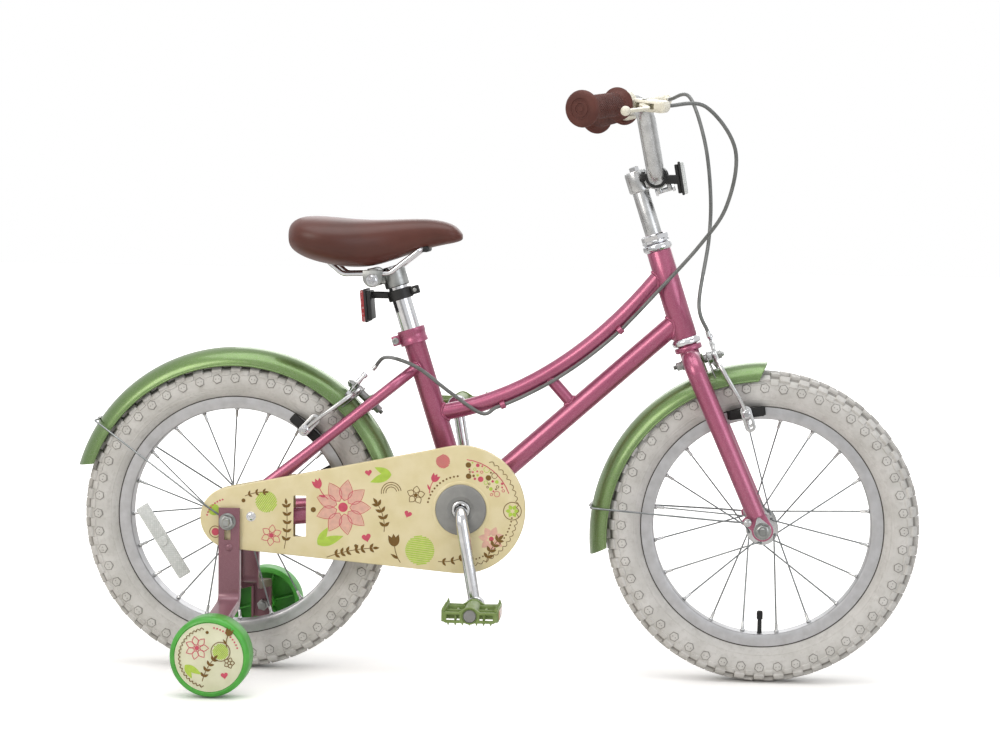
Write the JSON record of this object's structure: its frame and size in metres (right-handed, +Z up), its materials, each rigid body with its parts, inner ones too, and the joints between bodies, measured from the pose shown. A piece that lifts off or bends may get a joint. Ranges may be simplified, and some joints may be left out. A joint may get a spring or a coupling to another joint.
{
  "type": "bicycle",
  "caption": "Small child's step-through bicycle with mudguards, chain guard, brakes, reflectors and stabiliser wheels",
  "frame": {"origin": "on the ground under the middle of the bike's length and width", "axes": "+X forward, +Y left, +Z up; the chain side is -Y"},
  "size_m": [1.1129, 0.4536, 0.7723],
  "materials": {
    "black_plastic": "moulded black plastic",
    "bracket_paint": "satin rose paint",
    "cable": "grey cable housing",
    "chrome": "bright chrome plate",
    "clear_lens": "clear reflector",
    "cream_plastic": "cream plastic",
    "frame_paint": "metallic rose paint",
    "green_plastic": "bright green plastic",
    "grey_plastic": "grey plastic",
    "grip": "brown rubber",
    "guard_paint": "metallic green paint",
    "ivory_plastic": "ivory plastic",
    "olive_plastic": "olive green plastic",
    "red_lens": "red reflector",
    "saddle": "brown vinyl",
    "silver": "satin silver",
    "steel": "zinc plated steel",
    "tyre": "pale grey rubber"
  },
  "bodies": {
    "frame": {"frame": "frame_paint", "seat_clamp": "frame_paint", "seat_clamp_bolt": "steel", "headset_cup_upper": "chrome", "headset_cup_lower": "chrome", "rear_axle": "steel", "chain": "steel", "chain_guard": "cream_plastic", "chain_guard_inner": "cream_plastic", "rear_brake_bolt": "steel", "rear_mudguard": "guard_paint", "rear_mudguard_stay": "silver", "rear_brake_cable": "cable", "stabiliser_bracket_right": "bracket_paint", "stabiliser_bracket_left": "bracket_paint", "stabiliser_bolt_right": "steel", "stabiliser_bolt_left": "steel"},
    "seat": {"seat_post": "chrome", "saddle": "saddle", "saddle_rails": "chrome", "saddle_clamp": "steel", "rear_reflector": "red_lens", "rear_reflector_bracket": "black_plastic"},
    "steering": {"fork": "frame_paint", "headset_locknut": "chrome", "stem": "silver", "front_brake_bolt": "steel", "handlebar": "silver", "grip_right": "grip", "grip_left": "grip", "lever_bracket_right": "ivory_plastic", "lever_bracket_left": "ivory_plastic", "front_reflector": "clear_lens", "front_reflector_bracket": "black_plastic", "front_mudguard": "guard_paint", "front_mudguard_stay": "silver", "front_axle": "steel", "front_brake_cable": "cable"},
    "lever_right": {"brake_lever_right": "ivory_plastic"},
    "lever_left": {"brake_lever_left": "ivory_plastic"},
    "front_wheel": {"front_tyre": "tyre", "front_rim": "silver", "front_hub": "steel"},
    "rear_wheel": {"rear_tyre": "tyre", "rear_rim": "silver", "rear_hub": "steel", "rear_wheel_reflector": "clear_lens"},
    "crankset": {"crank": "chrome", "chainring": "steel", "crank_disc": "grey_plastic"},
    "sprocket": {"rear_sprocket": "steel"},
    "pedal_right_body": {"pedal_right": "olive_plastic"},
    "pedal_left_body": {"pedal_left": "olive_plastic"},
    "stabiliser_wheel_right_body": {"stabiliser_wheel_right": "green_plastic"},
    "stabiliser_wheel_left_body": {"stabiliser_wheel_left": "green_plastic"},
    "front_arm_outer": {"front_brake_arm_outer": "silver"},
    "front_arm_inner": {"front_brake_arm_inner": "silver"},
    "rear_arm_outer": {"rear_brake_arm_outer": "silver"},
    "rear_arm_inner": {"rear_brake_arm_inner": "silver"}
  },
  "joints": [
    {"name": "steering", "type": "hinge", "parent": "frame", "child": "steering", "pos_m": [0.24786, 0, 0.45025], "axis": [-0.3074, 0, 0.9516], "range_deg": [-60, 60], "deforming": ["rear_brake_cable"]},
    {"name": "seat_height", "type": "slide", "parent": "frame", "child": "seat", "axis": [-0.299, 0, 0.9542], "range_m": [-0.035, 0.05]},
    {"name": "front_wheel_spin", "type": "hinge", "parent": "steering", "child": "front_wheel", "pos_m": [0.35245, 0, 0.2045], "axis": [0, 1, 0], "continuous": true},
    {"name": "rear_wheel_spin", "type": "hinge", "parent": "frame", "child": "rear_wheel", "pos_m": [-0.34255, 0, 0.2045], "axis": [0, 1, 0], "continuous": true},
    {"name": "crank_spin", "type": "hinge", "parent": "frame", "child": "crankset", "pos_m": [-0.03755, 0, 0.2262], "axis": [0, 1, 0], "continuous": true},
    {"name": "sprocket_spin", "type": "hinge", "parent": "frame", "child": "sprocket", "pos_m": [-0.34255, 0, 0.2045], "axis": [0, 1, 0], "continuous": true},
    {"name": "pedal_right_spin", "type": "hinge", "parent": "crankset", "child": "pedal_right_body", "pos_m": [-0.01601, -0.137, 0.10408], "axis": [0, 1, 0], "continuous": true},
    {"name": "stabiliser_right_spin", "type": "hinge", "parent": "frame", "child": "stabiliser_wheel_right_body", "pos_m": [-0.33855, -0.2045, 0.0525], "axis": [0, 1, 0], "continuous": true},
    {"name": "pedal_left_spin", "type": "hinge", "parent": "crankset", "child": "pedal_left_body", "pos_m": [-0.05908, 0.137, 0.34832], "axis": [0, 1, 0], "continuous": true},
    {"name": "stabiliser_left_spin", "type": "hinge", "parent": "frame", "child": "stabiliser_wheel_left_body", "pos_m": [-0.33855, 0.2045, 0.0525], "axis": [0, 1, 0], "continuous": true},
    {"name": "brake_lever_right_pull", "type": "hinge", "parent": "steering", "child": "lever_right", "pos_m": [0.19218, -0.13315, 0.74819], "axis": [-0.0383, 0.1211, -0.9919], "range_deg": [0, 17], "stiffness_Nm_per_rad": 0.4},
    {"name": "brake_lever_left_pull", "type": "hinge", "parent": "steering", "child": "lever_left", "pos_m": [0.1913, 0.13367, 0.7573], "axis": [-0.2267, -0.0087, 0.9739], "range_deg": [0, 17], "stiffness_Nm_per_rad": 0.4},
    {"name": "front_arm_outer_close", "type": "hinge", "parent": "steering", "child": "front_arm_outer", "pos_m": [0.27734, 0, 0.42404], "axis": [0.9516, 0, 0.3074], "range_deg": [0, 0.31]},
    {"name": "front_arm_inner_close", "type": "hinge", "parent": "steering", "child": "front_arm_inner", "pos_m": [0.27734, 0, 0.42404], "axis": [-0.9516, 0, -0.3074], "range_deg": [0, 0.31]},
    {"name": "rear_arm_outer_close", "type": "hinge", "parent": "frame", "child": "rear_arm_outer", "pos_m": [-0.17925, 0, 0.37013], "axis": [-0.7314, 0, 0.682], "range_deg": [0, 0.31]},
    {"name": "rear_arm_inner_close", "type": "hinge", "parent": "frame", "child": "rear_arm_inner", "pos_m": [-0.17925, 0, 0.37013], "axis": [0.7314, 0, -0.682], "range_deg": [0, 0.31]}
  ],
  "couplings": [
    {"joint": "sprocket_spin", "follows": "crank_spin", "ratio": 2},
    {"joint": "front_arm_outer_close", "follows": "brake_lever_left_pull", "ratio": 0.018},
    {"joint": "front_arm_inner_close", "follows": "brake_lever_left_pull", "ratio": 0.018},
    {"joint": "rear_arm_outer_close", "follows": "brake_lever_right_pull", "ratio": 0.018},
    {"joint": "rear_arm_inner_close", "follows": "brake_lever_right_pull", "ratio": 0.018}
  ]
}
